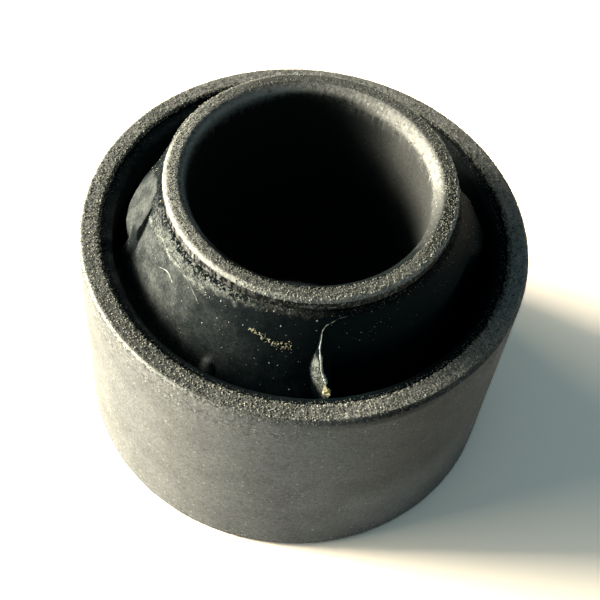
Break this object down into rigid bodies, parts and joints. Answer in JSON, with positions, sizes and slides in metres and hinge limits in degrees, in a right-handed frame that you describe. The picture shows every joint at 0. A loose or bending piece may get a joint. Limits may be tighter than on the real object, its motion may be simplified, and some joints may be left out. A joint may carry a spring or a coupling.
{
  "type": "rubber metal bush",
  "caption": "Pressed-in bush: a thin outer steel sleeve and a longer inner steel sleeve joined by a bonded rubber ring with through pockets.",
  "frame": {"origin": "centre of the bush's lower end, on the axis, level with the lower ends of both sleeves", "axes": "+Z along the bore axis towards the end where the inner sleeve stands proud; +X at right angles to it, near the tapering tip of one of the rubber's two pockets"},
  "size_m": [0.046, 0.046, 0.0346],
  "materials": {
    "phosphated_steel": "matt grey phosphate coating with a fine sparkling crystal grain",
    "rubber": "satin black moulded rubber with a fine moulding grain"
  },
  "bodies": {
    "root": {"outer_sleeve": "phosphated_steel", "rubber": "rubber", "inner_sleeve": "phosphated_steel"}
  },
  "joints": []
}
